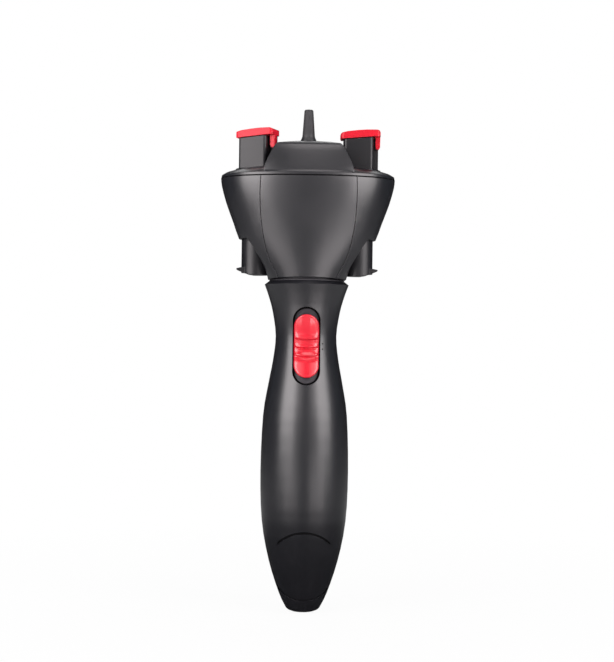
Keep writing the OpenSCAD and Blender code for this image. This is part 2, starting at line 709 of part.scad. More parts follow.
module head_screws() color(steel) for (p = post_places)
    translate([p.x, p.y, plate_high_z + plate_high_t - screw_cap_h - 0.05]) {
        difference() {
            cylinder(r = screw_cap_r, h = screw_cap_h);
            translate([0, 0, screw_cap_h]) cube([0.6, 2.4, 1], center = true);
            translate([0, 0, screw_cap_h]) cube([2.4, 0.6, 1], center = true);
        }
        translate([0, 0, plate_low_z - pilot_l + 2 - plate_high_z])
            cylinder(r = pilot_r - 0.02, h = plate_high_z - plate_low_z + pilot_l - 1.5);
    }

// ---- Top cover ----
crown = [[rim_z + 0.1, head_w / 2, head_d / 2], [rim_z + 1.3, head_w / 2 - 0.2, head_d / 2 - 0.2],
    [rim_z + 2.5, head_w / 2 - 2.2, head_d / 2 - 1.4], [rim_z + 3.5, head_w / 2 - 5.7, head_d / 2 - 2.6],
    [crown_z, head_w / 2 - 10.2, head_d / 2 - 4]];
crown_under = [[rim_z - 1, head_w / 2, head_d / 2], [rim_z + 0.9, head_w / 2, head_d / 2],
    [rim_z + 2.2, head_w / 2 - 4, head_d / 2 - 3]];
// Dome seen from the front: [share of the towers' distance, share of its height], from rim to crest
dome_front = [[0.891, 0], [0.87, 0.053], [0.83, 0.264], [0.774, 0.433], [0.705, 0.601], [0.653, 0.719],
    [0.623, 0.775], [0.585, 0.8], [0.41, 0.825], [0.16, 0.845], [0, 0.848]];
// Dome seen from the side: [share of its height, share of the head's half depth]
dome_side = [[0, 0.996], [0.13, 0.962], [0.24, 0.93], [0.43, 0.874], [0.6, 0.822], [0.719, 0.783],
    [0.78, 0.752], [0.815, 0.708], [0.86, 0.62]];
function dome_level(share) = mix(rim_z + 0.1, dome_z, share);
module dome(inset = 0) {
    edge = [for (s = dome_front) [s.x * tower_x - inset, dome_level(s.y) - inset]];
    intersection() {
        along_y(-far, far) polygon(concat([[edge[0].x, rim_z - 1], [-edge[0].x, rim_z - 1]],
            [for (p = edge) if (p.x > 0) [-p.x, p.y]], [[0, edge[len(edge) - 1].y]],
            reversed([for (p = edge) if (p.x > 0) p])));
        loft(concat(inset > 0 ? [[rim_z - 1, head_w / 2, head_d / 2]] : [],
            [for (s = dome_side) [dome_level(s.x), head_w / 2 - 0.2, head_d * s.y / 2]]), -inset);
    }
}
module spike() rotate_extrude() polygon([[0, dome_z - 4.5], [4, dome_z - 4.5], [3.75, dome_z - 2],
    [3.35, dome_z - 0.6], [2.95, dome_z + 0.3], [2.7, dome_z + 1.1], [spike_tip_r + 0.05, spike_top - 0.7],
    [spike_tip_r - 0.05, spike_top - 0.3], [spike_tip_r - 0.35, spike_top - 0.06],
    [spike_tip_r - 0.7, spike_top], [0, spike_top]]);
module head_top_cover() color(black) difference() {
    union() {
        loft(crown);
        dome();
        spike();
    }
    // Hollow, with a wall left round each tower's opening
    difference() {
        union() {
            loft(crown_under, -head_wall, 32);
            dome(head_wall);
        }
        for (s = [-1, 1]) translate([s * tower_x, 0, rim_z - 2])
            cylinder(r = table_r + lay_gap + 1.2, h = far);
    }
    for (s = [-1, 1]) translate([s * tower_x, 0, rim_z - 2]) cylinder(r = table_r + lay_gap, h = far);
}

// ---- Towers ----
module at_tower(side) {
    translate([side * tower_x, 0, 0]) rotate(side < 0 ? left_turn : right_turn) children();
}
block_left = 7;
block_right = 5.7;
top_slope = 4.8;
rod_bore_r = rod_r + run_fit;
spring_top = crown_z + tower_h - 5;
module tower(side) color(black) at_tower(side) difference() {
    union() {
        // Turntable, stem, hexagon for the gear and lower journal
        translate([0, 0, rim_z]) cylinder(r = table_r, h = crown_h);
        translate([0, 0, gear_z + gear_w]) cylinder(r = stem_r, h = rim_z - gear_z - gear_w + 1);
        rotate(side < 0 ? -left_turn : -right_turn) translate([0, 0, gear_z - eps])
            linear_extrude(gear_w + 2 * eps) hexagon(hex_spindle);
        translate([0, 0, plate_low_z]) cylinder(r = journal_low_r, h = gear_z - plate_low_z);
        // Block and the rib beside the hook's leg
        difference() {
            union() {
                translate([(block_right - block_left) / 2, 0, crown_z - 1]) linear_extrude(tower_h + 6)
                    rounded(block_right + block_left, tower_d, 1.4);
                translate([block_right - 1, 1.1, crown_z - 1]) cube([3.3, 2.3, tower_h + 6]);
            }
            translate([-block_left, -far / 2, crown_z + tower_h]) rotate([0, -top_slope, 0])
                translate([-far / 2, 0, 0]) cube([far, far, far]);
        }
    }
    translate([0, 0, plate_low_z - 1]) cylinder(r = stem_bore_r, h = spring_top - plate_low_z + 1);
    translate([0, 0, spring_top - 1]) cylinder(r = rod_bore_r, h = 20);
}
module tower_left() tower(-1);
module tower_right() tower(1);

// ---- Hooks ----
cap_low = crown_z + tower_h + lay_gap + 0.1;
cap_reach = 8.7;
cap_left = 8.3;
cap_t = 2.9;
leg_in = 6.6;
leg_l = 5.3;
leg_front = 2;
leg_back = 0.6;
rod_foot_z = bowl_z + 4.4;
collar_z = plate_low_z + 3;
function slope_z(x) = cap_low + (x + block_left) * tan(top_slope);
module hook(side) color(red) at_tower(side) difference() {
    union() {
        intersection() {
            along_y(-far, far) polygon([[-cap_left, slope_z(-cap_left) + 0.5],
                [-cap_left + 0.4, slope_z(-cap_left)], [block_right + 0.4, slope_z(block_right)],
                [cap_reach, slope_z(block_right)], [cap_reach, slope_z(block_right) + cap_t - 1.2],
                [cap_reach - 0.4, slope_z(block_right) + cap_t - 0.4],
                [cap_reach - 1.3, slope_z(block_right) + cap_t - 0.05],
                [block_right / 2, slope_z(block_right / 2) + cap_t + 0.15], [-1, slope_z(-1) + cap_t + 0.2],
                [-cap_left + 3, slope_z(3 - cap_left) + cap_t + 0.05],
                [-cap_left + 0.5, slope_z(-cap_left) + cap_t - 0.3],
                [-cap_left, slope_z(-cap_left) + cap_t - 0.8]]);
            translate([(cap_reach - cap_left) / 2, 0, crown_z]) linear_extrude(far)
                rounded(cap_reach + cap_left, tower_d + 0.4, 1.5);
        }
        along_y(-leg_front, leg_back) polygon([[leg_in, slope_z(block_right) + 0.5],
            [leg_in, slope_z(block_right) - leg_l + 1.2], [leg_in + 0.5, slope_z(block_right) - leg_l],
            [cap_reach - 0.6, slope_z(block_right) - leg_l],
            [cap_reach - 0.1, slope_z(block_right) - leg_l + 0.8],
            [cap_reach, slope_z(block_right) + 0.5]]);
    }
    translate([0, 0, crown_z]) cylinder(r = rod_r + 0.03, h = slope_z(0) + 2 - crown_z);
}
module hook_left() hook(-1);
module hook_right() hook(1);
module hook_rod(side) color(steel) at_tower(side) {
    translate([0, 0, rod_foot_z]) cylinder(r = rod_r, h = slope_z(0) + 1.95 - rod_foot_z);
    translate([0, 0, collar_z]) cylinder(r = stem_bore_r - 0.2, h = 1.2);
}
module hook_rod_left() hook_rod(-1);
module hook_rod_right() hook_rod(1);
hook_spring_curls = 7;
module hook_spring(side) color(steel) translate([side * tower_x, 0, collar_z + 1.25])
    coil((rod_r + stem_bore_r) / 2, spring_wire, spring_top - collar_z - 1.3, hook_spring_curls);
module hook_spring_left() hook_spring(-1);
module hook_spring_right() hook_spring(1);

// ---- Lift levers ----
lever_z = bowl_z + 1.8;
lever_floor = 1.6;
sleeve_top = plate_low_z - lift - 0.8;
ledge_t = 1.1;
ledge_rise = 2.3;
// Underside that sweeps up to the ledge, from shares of its reach and of its rise
ledge_sweep = [for (s = [[0.1, 0], [0.37, 0.15], [0.617, 0.435], [0.84, 0.76]])
    [s.x * ledge_reach, lever_z + s.y * ledge_rise]];
module lift_lever(side) color(black) translate([side * tower_x, 0, 0]) mirror([side < 0 ? 1 : 0, 0, 0])
    difference() {
        union() {
            translate([0, 0, lever_z + 0.9]) cylinder(r = sleeve_r, h = sleeve_top - lever_z - 0.9);
            // Floor that sweeps up into the finger ledge
            intersection() {
                along_y(-far, far) polygon(concat([[-sleeve_r, lever_z]], ledge_sweep, [
                    [ledge_reach, lever_z + ledge_rise], [ledge_reach, lever_z + ledge_rise + 0.5],
                    [0.79 * ledge_reach, lever_z + ledge_rise + ledge_t - 0.2],
                    [sleeve_r - 1.5, lever_z + ledge_rise + ledge_t], [-sleeve_r, lever_z + ledge_rise]]));
                translate([0, 0, lever_z - 1]) linear_extrude(6) {
                    circle(sleeve_r);
                    translate([0, -4]) square([ledge_reach, 8]);
                }
            }
        }
        translate([0, 0, rod_foot_z - 0.1]) cylinder(r = sleeve_r - sleeve_wall, h = far);
        difference() {
            translate([0, 0, lever_z - 1]) cylinder(r = sleeve_r + 5, h = 1.9 + eps);
            along_y(-far, far) polygon(concat([[-sleeve_r - 1, lever_z]], ledge_sweep,
                [[far, far], [-sleeve_r - 1, far]]));
        }
    }
module lift_lever_left() lift_lever(-1);
module lift_lever_right() lift_lever(1);

handle_front_shell();
handle_rear_shell();
battery_cover();
neck_bush();
switch_track();
switch_knob();
switch_body();
circuit_board();
motor_can();
motor_end_cap();
gearbox();
battery_tray();
battery_left();
battery_right();
contact_lower();
contact_upper();
battery_spring_lower();
battery_spring_upper();
case_screws();
head_centre_shell();
wing_shell_left();
wing_shell_right();
head_base();
hub_clip();
one_way_bearing();
gear_plate_lower();
gear_plate_upper();
head_screws();
head_top_cover();
drive_shaft();
sun_gear();
spindle_gear_left();
spindle_gear_right();
tower_left();
tower_right();
hook_left();
hook_right();
hook_rod_left();
hook_rod_right();
hook_spring_left();
hook_spring_right();
lift_lever_left();
lift_lever_right();
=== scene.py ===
"""Looks of the automatic hair braider: finishes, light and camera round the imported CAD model."""
import math

import bmesh
import bpy
import numpy as np
from mathutils import Matrix, Vector
from mathutils.bvhtree import BVHTree


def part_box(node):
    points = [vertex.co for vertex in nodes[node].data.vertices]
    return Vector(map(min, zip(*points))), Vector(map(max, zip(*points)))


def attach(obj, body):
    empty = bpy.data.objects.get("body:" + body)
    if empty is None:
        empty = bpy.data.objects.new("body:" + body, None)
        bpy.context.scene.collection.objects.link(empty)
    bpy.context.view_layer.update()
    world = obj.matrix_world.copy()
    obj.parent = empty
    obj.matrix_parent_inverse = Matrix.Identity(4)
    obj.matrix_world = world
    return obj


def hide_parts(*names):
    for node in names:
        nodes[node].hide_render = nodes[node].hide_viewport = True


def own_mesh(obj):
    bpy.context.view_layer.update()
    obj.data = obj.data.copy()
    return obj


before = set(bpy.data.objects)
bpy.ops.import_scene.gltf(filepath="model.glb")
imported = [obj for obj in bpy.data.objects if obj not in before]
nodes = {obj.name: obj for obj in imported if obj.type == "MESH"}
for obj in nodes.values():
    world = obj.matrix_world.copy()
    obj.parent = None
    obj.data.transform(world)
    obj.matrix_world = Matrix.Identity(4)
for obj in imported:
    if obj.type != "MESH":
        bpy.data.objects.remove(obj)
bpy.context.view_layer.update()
scene = bpy.context.scene
MM = 0.001


def direction(azimuth):
    """Level unit vector; azimuth 0 is at the camera's side and grows to the right of the picture."""
    a = math.radians(azimuth)
    return Vector((math.sin(a), -math.cos(a), 0))


# ---- Camera at the photo's viewing angle ----
DISTANCE = 620 * MM      # from the camera to the object's axis
EYE_HEIGHT = 120.2 * MM  # the photo's horizon lies in the middle of the picture
AXIS_LEFT = 0.39 * MM    # the axis passes a little left of the middle
VIEW_WIDE = 283.9 * MM   # what the long side of the picture holds at the axis
YAW = math.radians(1.0)
LEAN = math.radians(0.75)
SENSOR = 36              # in mm, as Blender counts it


def make_camera():
    data = bpy.data.cameras.new("camera")
    data.sensor_width = SENSOR
    data.lens = SENSOR * DISTANCE / VIEW_WIDE
    data.clip_start = 10 * MM
    camera = bpy.data.objects.new("camera", data)
    scene.collection.objects.link(camera)
    back = Vector((-math.sin(YAW), -math.cos(YAW), 0))
    side = Vector((math.cos(YAW), -math.sin(YAW), 0))
    turn = (-back).to_track_quat("-Z", "Y").to_matrix().to_4x4()
    place = back * DISTANCE + side * AXIS_LEFT + Vector((0, 0, EYE_HEIGHT))
    camera.matrix_world = Matrix.Translation(place) @ turn @ Matrix.Rotation(LEAN, 4, "Z")
    scene.camera = camera


# ---- Node trees ----
class Tree:
    """Short calls for making and joining the nodes of one material or world."""

    def __init__(self, owner):
        owner.use_nodes = True
        self.tree = owner.node_tree
        self.tree.nodes.clear()

    def add(self, kind, inputs=None, **settings):
        made = self.tree.nodes.new(kind)
        for name, value in settings.items():
            setattr(made, name, value)
        for name, value in (inputs or {}).items():
            if isinstance(value, bpy.types.NodeSocket):
                self.tree.links.new(value, made.inputs[name])
            else:
                made.inputs[name].default_value = value
        return made

    def noise(self, where, scale, detail, roughness=0.5):
        return self.add("ShaderNodeTexNoise", {"Vector": where, "Scale": scale, "Detail": detail,
                                               "Roughness": roughness}).outputs["Fac"]

    def span(self, value, low, high, to_low, to_high):
        return self.add("ShaderNodeMapRange", {"Value": value, "From Min": low, "From Max": high,
                                               "To Min": to_low, "To Max": to_high}).outputs["Result"]

    def math(self, operation, a, b):
        return self.add("ShaderNodeMath", {0: a, 1: b}, operation=operation).outputs[0]

    def blend(self, share, a, b):
        return self.add("ShaderNodeMix", {0: share, 6: a, 7: b}, data_type="RGBA").outputs[2]

    def bump(self, height, distance, normal):
        return self.add("ShaderNodeBump", {"Height": height, "Distance": distance,
                                           "Normal": normal}).outputs["Normal"]


def tone(r, g, b):
    """Linear colour of a tone written as 0 to 255 on screen."""
    screen = [c / 255 for c in (r, g, b)]
    linear = [s / 12.92 if s <= 0.04045 else ((s + 0.055) / 1.055) ** 2.4 for s in screen]
    return (*linear, 1.0)


# ---- Materials ----
CLOUD, SPECK, FINE, WAVE = 38, 900, 3200, 150  # noise scales, in cycles to the metre
SCUFF_STRETCH = (700, 700, 45)
SCUFF_TILT = (0.12, 0.2, 0)
WAVE_DEPTH = 0.02 * MM
EDGE_ROUND = 0.28 * MM
COAT_ROUGHNESS = 0.09
MATTE_FADE = 3 * MM
STREAK_STRETCH = (60, 60, 2600)
STREAK_DEPTH = 0.006 * MM
TARNISH = 120
METAL_ROUND = 0.12 * MM


def edges(t, radius):
    """Normal rounded at the edges, and a mask that is 1 on worn edges."""
    rounded = t.add("ShaderNodeBevel", {"Radius": radius}, samples=6).outputs["Normal"]
    flat = t.add("ShaderNodeNewGeometry").outputs["Normal"]
    same = t.add("ShaderNodeVectorMath", {0: rounded, 1: flat}, operation="DOT_PRODUCT").outputs["Value"]
    return rounded, t.span(same, 0.98, 0.80, 0.0, 1.0)


def moulded(name, dark, light, worn, roughness, grain, specular=0.5, coat=0.0, bevel=EDGE_ROUND,
            matte_from=None):
    """Moulded plastic: faint clouding, fine grain, flow waviness, hairline scuffs and worn edges.

    Above the height matte_from it is more matt.
    """
    material = bpy.data.materials.new(name)
    t = Tree(material)
    where = t.add("ShaderNodeTexCoord").outputs["Object"]
    cloud = t.noise(where, CLOUD, 3)
    speck = t.noise(where, SPECK, 4)
    fine = t.noise(where, FINE, 2)
    wave = t.noise(where, WAVE, 1)
    along = t.add("ShaderNodeMapping", {"Vector": where, "Scale": SCUFF_STRETCH, "Rotation": SCUFF_TILT})
    hair = t.noise(along.outputs["Vector"], 1, 5, 0.7)
    scuff = t.span(hair, 0.63, 0.70, 0.0, 1.0)
    rounded, edge = edges(t, bevel)
    patchy = t.math("MULTIPLY", edge, t.span(speck, 0.35, 0.6, 0.25, 1.0))
    colour = t.blend(t.span(cloud, 0.3, 0.7, 0.0, 1.0), dark, light)
    colour = t.blend(t.math("MULTIPLY", patchy, 0.6), colour, worn)
    rough = t.span(cloud, 0.3, 0.7, roughness - 0.03, roughness + 0.03)
    for mark, share in ((speck, 0.04), (scuff, 0.05), (patchy, 0.07)):
        rough = t.math("ADD", rough, t.math("MULTIPLY", mark, share))
    if matte_from is not None:
        height = t.add("ShaderNodeSeparateXYZ", {"Vector": where}).outputs["Z"]
        rough = t.math("ADD", rough, t.span(height, matte_from, matte_from + MATTE_FADE, 0.0, 0.4))
    normal = t.bump(wave, WAVE_DEPTH, rounded)
    normal = t.bump(fine, grain, normal)
    shader = t.add("ShaderNodeBsdfPrincipled", {"Base Color": colour, "Roughness": rough, "Normal": normal,
                                                "Specular IOR Level": specular, "Coat Weight": coat,
                                                "Coat Roughness": COAT_ROUGHNESS})
    t.add("ShaderNodeOutputMaterial", {"Surface": shader.outputs[0]})
    return material


def metal(name, dark, light, roughness):
    """Drawn or rolled metal: streaks along the work, a little tarnish, bright worn edges."""
    material = bpy.data.materials.new(name)
    t = Tree(material)
    where = t.add("ShaderNodeTexCoord").outputs["Object"]
    along = t.add("ShaderNodeMapping", {"Vector": where, "Scale": STREAK_STRETCH}).outputs["Vector"]
    streak = t.noise(along, 1, 4, 0.6)
    tarnish = t.noise(where, TARNISH, 4)
    rounded, edge = edges(t, METAL_ROUND)
    colour = t.blend(t.span(tarnish, 0.35, 0.65, 0.0, 1.0), dark, light)
    rough = t.math("ADD", t.span(streak, 0.3, 0.7, roughness - 0.07, roughness + 0.07),
                   t.math("MULTIPLY", edge, -0.08))
    normal = t.bump(streak, STREAK_DEPTH, rounded)
    shader = t.add("ShaderNodeBsdfPrincipled", {"Base Color": colour, "Roughness": rough, "Normal": normal,
                                                "Metallic": 1.0})
    t.add("ShaderNodeOutputMaterial", {"Surface": shader.outputs[0]})
    return material


# ---- Shading of the CAD meshes ----
SMOOTH_ANGLE = math.radians(32)
JOIN_DISTANCE = 0.002 * MM


def smoothing_group():
    """Geometry nodes that join the tessellation's points and shade smooth up to the smooth angle."""
    group = bpy.data.node_groups.new("smooth_by_angle", "GeometryNodeTree")
    group.interface.new_socket("Geometry", in_out="INPUT", socket_type="NodeSocketGeometry")
    group.interface.new_socket("Geometry", in_out="OUTPUT", socket_type="NodeSocketGeometry")
    add = group.nodes.new
    link = group.links.new
    start = add("NodeGroupInput")
    end = add("NodeGroupOutput")
    merge = add("GeometryNodeMergeByDistance")
    merge.inputs["Distance"].default_value = JOIN_DISTANCE
    drop = add("GeometryNodeRemoveAttribute")
    drop.inputs["Name"].default_value = "custom_normal"
    faces = add("GeometryNodeSetShadeSmooth")
    faces.domain = "FACE"
    creases = add("GeometryNodeSetShadeSmooth")
    creases.domain = "EDGE"
    angle = add("GeometryNodeInputMeshEdgeAngle")
    limit = add("FunctionNodeCompare")
    limit.data_type = "FLOAT"
    limit.operation = "LESS_EQUAL"
    limit.inputs[1].default_value = SMOOTH_ANGLE
    link(start.outputs[0], merge.inputs["Geometry"])
    link(merge.outputs[0], drop.inputs["Geometry"])
    link(drop.outputs[0], faces.inputs["Geometry"])
    link(faces.outputs[0], creases.inputs["Geometry"])
    link(angle.outputs["Unsigned Angle"], limit.inputs[0])
    link(limit.outputs[0], creases.inputs["Shade Smooth"])
    link(creases.outputs[0], end.inputs[0])
    return group


# ---- New pieces ----
def new_piece(name, form, material):
    mesh = bpy.data.meshes.new(name)
    form.to_mesh(mesh)
    form.free()
    mesh.materials.append(material)
    piece = bpy.data.objects.new(name, mesh)
    scene.collection.objects.link(piece)
    return piece


def smooth_quads(form):
    for face in form.faces:
        face.smooth = len(face.verts) == 4


def sweep(name, rows, closed, material, body, smooth=False):
    """Joins rows of section points into one closed solid that rides on a body."""
    form = bmesh.new()
    rings = [[form.verts.new(p) for p in row] for row in rows]
    pairs = list(zip(rings, rings[1:])) + ([(rings[-1], rings[0])] if closed else [])
    count = len(rows[0])
    for a, b in pairs:
        for k in range(count):
            form.faces.new((a[k], a[(k + 1) % count], b[(k + 1) % count], b[k]))
    if not closed:
        form.faces.new(list(reversed(rings[0])))
        form.faces.new(rings[-1])
    bmesh.ops.recalc_face_normals(form, faces=form.faces[:])
    if smooth:
        smooth_quads(form)
    piece = new_piece(name, form, material)
    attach(piece, body)
    return piece


# ---- Springs, wound as smooth wire in place of the CAD solids ----
WIRE = 0.35 * MM          # radius of the wire
END_PITCH = 2.05 * WIRE   # of the closed end coils
WIRE_SIDES = 10
STEPS_PER_TURN = 28


def wind(node, body, curls):
    """Winds a spring in the box of a CAD node; returns it and the middle of its upper end.

    Its end coils are closed where there is room.
    """
    low, high = (Vector(c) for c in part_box(node))
    middle = (low + high) / 2
    radius = (high.x - low.x) / 2 - WIRE
    closed = 1.0 if curls > 1 else 0.0
    total = curls + 2 * closed
    steps = int(STEPS_PER_TURN * total)
    points = []
    for i in range(steps + 1):
        turn = total * i / steps
        share = min(max((turn - closed) / curls, 0), 1)
        height = low.z + WIRE + END_PITCH * min(turn, closed)
        height += (high.z - low.z - 2 * WIRE - 2 * END_PITCH * closed) * share
        height += END_PITCH * max(turn - closed - curls, 0)
        angle = 2 * math.pi * turn
        points.append(Vector((middle.x + radius * math.cos(angle),
                              middle.y + radius * math.sin(angle), height)))
    sides = [2 * math.pi * k / WIRE_SIDES for k in range(WIRE_SIDES)]
    rows = []
    for i, point in enumerate(points):
        ahead = (points[min(i + 1, steps)] - points[max(i - 1, 0)]).normalized()
        out = Vector((point.x - middle.x, point.y - middle.y, 0)).normalized()
        up = out.cross(ahead).normalized()
        rows.append([point + (out * math.cos(a) + up * math.sin(a)) * WIRE for a in sides])
    piece = sweep(node + "_wire", rows, False, steel, body, smooth=True)
    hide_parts(node)
    return piece, Vector((middle.x, middle.y, high.z))


# ---- Lines of painted shade laid on the CAD surfaces ----
OUTSIDE = 80 * MM  # from the axis, clear of the whole object
LINE_TOP = 0.45    # half of the top of a line, as a share of its width


def surface(*names):
    """Search tree of the outside of some CAD nodes."""
    verts, faces = [], []
    for name in names:
        mesh = nodes[name].data
        first = len(verts)
        verts += [v.co.copy() for v in mesh.vertices]
        faces += [[first + k for k in p.vertices] for p in mesh.polygons]
    return BVHTree.FromPolygons(verts, faces)


def front_hit(outside, x, z):
    """Spot and normal where a level ray from the front meets the surface."""
    return outside.ray_cast(Vector((x, -OUTSIDE, z)), Vector((0, 1, 0)))[:2]


def line_rows(points, normals, widths, proud, deep, closed):
    """Sections of a low strip along points on a surface."""
    rows = []
    last = len(points) - 1
    for i, (p, n, w) in enumerate(zip(points, normals, widths)):
        before = points[i - 1] if closed or i > 0 else p
        after = points[(i + 1) % len(points)] if closed or i < last else p
        side = (after - before).normalized().cross(n).normalized()
        rows.append([p - side * w / 2 - n * deep, p - side * w * LINE_TOP + n * proud,
                     p + side * w * LINE_TOP + n * proud, p + side * w / 2 - n * deep])
    return rows


RIM_STEPS = 180
RIM_WIDE = 0.62 * MM
RIM_PROUD = 0.05 * MM
RIM_DEEP = 0.25 * MM
RIM_BELOW = 0.25 * MM  # under the seam, where the skin of the bowl is found
RIM_ABOVE = 0.02 * MM  # over the seam, where the line lies


def rim_shade_line():
    """Painted shade: a dark strip along the parting line between the bowl and the top cover, where the gap's
    shadow falls.
    """
    outside = surface("head_centre_shell", "wing_shell_left", "wing_shell_right")
    seam_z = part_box("head_centre_shell")[1][2]
    points, normals = [], []
    for i in range(RIM_STEPS):
        out = direction(360 * i / RIM_STEPS)
        start = out * OUTSIDE + Vector((0, 0, seam_z - RIM_BELOW))
        spot, normal = outside.ray_cast(start, -out)[:2]
        points.append(Vector((spot.x, spot.y, seam_z + RIM_ABOVE)))
        normals.append(Vector((normal.x, normal.y, 0)).normalized())
    rows = line_rows(points, normals, [RIM_WIDE] * RIM_STEPS, RIM_PROUD, RIM_DEEP, True)
    sweep("rim_shade_line", rows, True, painted_shade_black, "head")


GROOVE_TOP = 36.3 * MM
GROOVE_DROP = 4.8 * MM
GROOVE_HALF = 11.1 * MM
GROOVE_WIDE = 0.95 * MM
GROOVE_REACH = 0.8 * MM  # from its middle up and down to the bare skin
GROOVE_STEPS = 48
GROOVE_COVER = 1.1       # share of the groove's width that the line takes
GROOVE_TAPER = 2 * MM
GROOVE_END = 0.25        # share of the width that is left at the ends
GROOVE_PROUD = 0.02 * MM
GROOVE_DEEP = 0.3 * MM


def groove_shade_line():
    """Painted shade: a dark strip laid over the arched groove on the tail, so that the groove reads as shaded.
    """
    outside = surface("handle_front_shell")
    arc = (GROOVE_HALF ** 2 + GROOVE_DROP ** 2) / (2 * GROOVE_DROP)
    points, normals, widths = [], [], []
    for i in range(GROOVE_STEPS + 1):
        x = GROOVE_HALF * (2 * i / GROOVE_STEPS - 1)
        z = GROOVE_TOP - arc + math.sqrt((arc - GROOVE_WIDE / 2) ** 2 - x ** 2)
        low_spot, low_normal = front_hit(outside, x, z - GROOVE_REACH)
        high_spot, high_normal = front_hit(outside, x, z + GROOVE_REACH)
        points.append((low_spot + high_spot) / 2)
        normals.append((low_normal + high_normal).normalized())
        share = min(1, GROOVE_END + (GROOVE_HALF - abs(x)) / GROOVE_TAPER)
        widths.append(GROOVE_WIDE * GROOVE_COVER * share)
    rows = line_rows(points, normals, widths, GROOVE_PROUD, GROOVE_DEEP, False)
    sweep("groove_shade_line", rows, False, painted_shade_black, "handle")


PIN_X = 6.8 * MM
PIN_HEIGHTS = (112.6 * MM, 114.9 * MM)
PIN_REACH = 0.6 * MM  # from a hole's middle to the bare skin at its left and right
PIN_PLACES = (-0.3 * MM, -0.2 * MM, 0, 0.2 * MM, 0.3 * MM)  # across a hole, with the shade's width at each
PIN_WIDTHS = (0.25 * MM, 0.5 * MM, 0.62 * MM, 0.5 * MM, 0.25 * MM)
PIN_PROUD = 0.03 * MM
PIN_DEEP = 0.15 * MM


def pin_shades():
    """Painted shade: dark patches over the two small holes beside the slot, for the shade inside them."""
    outside = surface("handle_front_shell")
    for number, z in enumerate(PIN_HEIGHTS):
        left_spot, left_normal = front_hit(outside, PIN_X - PIN_REACH, z)
        right_spot, right_normal = front_hit(outside, PIN_X + PIN_REACH, z)
        middle = (left_spot + right_spot) / 2
        normal = (left_normal + right_normal).normalized()
        along = (right_spot - left_spot).normalized()
        points = [middle + along * place for place in PIN_PLACES]
        rows = line_rows(points, [normal] * len(points), PIN_WIDTHS, PIN_PROUD, PIN_DEEP, False)
        sweep("pin_shade_%d" % (number + 1), rows, False, painted_shade_black, "handle")


# ---- Switch: radius of the handle round it, painted shade in the slot's gap, and knob ----
SLOT_Z = 113.9 * MM
SLOT_W = 11.7 * MM
SLOT_L = 33 * MM
BESIDE_SLOT = 7.5 * MM
KNOB_W = SLOT_W - 1.1 * MM
KNOB_L = SLOT_L - 6.3 * MM
PROUD = 1.3 * MM            # of the knob's face, over the handle's skin
UNDER = 0.8 * MM            # of the knob's back, under the handle's skin
RIM = 0.75 * MM             # radius of the knob's rounded rim
DISH_Z = SLOT_Z - 0.6 * MM
DISH_R = 11 * MM
DISH_DEPTH = 0.9 * MM
DISH_SOFT = 0.12 * MM       # how softly the dish meets the face
RIBS = (-3.4 * MM, 0.15 * MM, 3.7 * MM)  # heights from the middle of the dish
RIB_BOW = 0.5 * MM          # how much lower a rib's middle is than its ends
RIB_RISE = 0.75 * MM
RIB_SLOPE = 1.1 * MM        # above the crest
RIB_STEEP = 0.4 * MM        # below the crest
RIB_ENDS = 0.35 * MM        # bare rim beside the ribs
HOLLOW_DEPTH = 0.3 * MM     # of the hollow under each rib
HOLLOW_DOWN = 0.75 * MM     # from the crest to the hollow
HOLLOW_WIDE = 0.4 * MM
RIB_LIMIT = 0.4 * MM        # most that a rib stands over the knob's face
STEM_R = 1.1 * MM
STEM_END = 9.5 * MM         # from the axis
OVAL_STRAIGHT = 90          # points along one side of an oval
OVAL_BEND = 24              # points round one end
FACE_RINGS = (0, 0.12, 0.24, 0.36, 0.48, 0.6, 0.7, 0.78)  # shares of the knob's width
BACK_RINGS = (1, 0.6, 0)
RIM_RINGS = 7
CURVE_REACH = 22            # of the fit, in mm above and below the middle of the slot
CURVE_ORDER = 6


def handle_curve():
    """Radius of the handle's skin over height, fitted beside the slot."""
    outside = surface("handle_front_shell")
    steps = range(-CURVE_REACH, CURVE_REACH)
    spots = [front_hit(outside, BESIDE_SLOT, SLOT_Z + k * MM)[0] for k in steps]
    fit = np.polyfit(steps, [math.hypot(p.x, p.y) for p in spots], CURVE_ORDER)
    return lambda z: float(np.polyval(fit, (z - SLOT_Z) / MM))


def oval(wide, long, share=1.0):
    """Points (x, z) round a stadium that shrinks towards its middle line with the share."""
    r = wide / 2
    half = long / 2 - r
    places = []
    for side in (1, -1):
        for i in range(OVAL_STRAIGHT):
            places.append((side * r * share, side * half * (2 * i / OVAL_STRAIGHT - 1)))
        for i in range(OVAL_BEND):
            a = math.pi * i / OVAL_BEND
            places.append((side * r * share * math.cos(a), side * (half + r * share * math.sin(a))))
    return places


def on_skin(x, z, r):
    """Point at a radius from the axis, at a place counted from the middle of the slot."""
    return Vector((x, -math.sqrt(r * r - x * x), SLOT_Z + z))


GAP_SPARE = 0.04 * MM
GAP_BAND = 1.5 * MM
GAP_FLOOR = 1.88 * MM     # depths under the handle's skin
GAP_AT_WALL = 1.5 * MM
GAP_AT_PLATE = 1.75 * MM


def slot_gap_shade(radius):
    """Painted shade: a dark strip between the track plate and the wall of the slot, under the knob's travel, for
    the shade in the gap.
    """
    outer = oval(SLOT_W - GAP_SPARE, SLOT_L - GAP_SPARE)
    inner = oval(SLOT_W - GAP_BAND, SLOT_L - GAP_BAND)
    rows = []
    for wall, plate in zip(outer, inner):
        corners = ((wall, GAP_FLOOR), (wall, GAP_AT_WALL), (plate, GAP_AT_PLATE), (plate, GAP_FLOOR))
        rows.append([on_skin(x, z, radius(SLOT_Z + z) - depth) for (x, z), depth in corners])
    sweep("slot_gap_shade", rows, True, painted_shade_black, "handle")


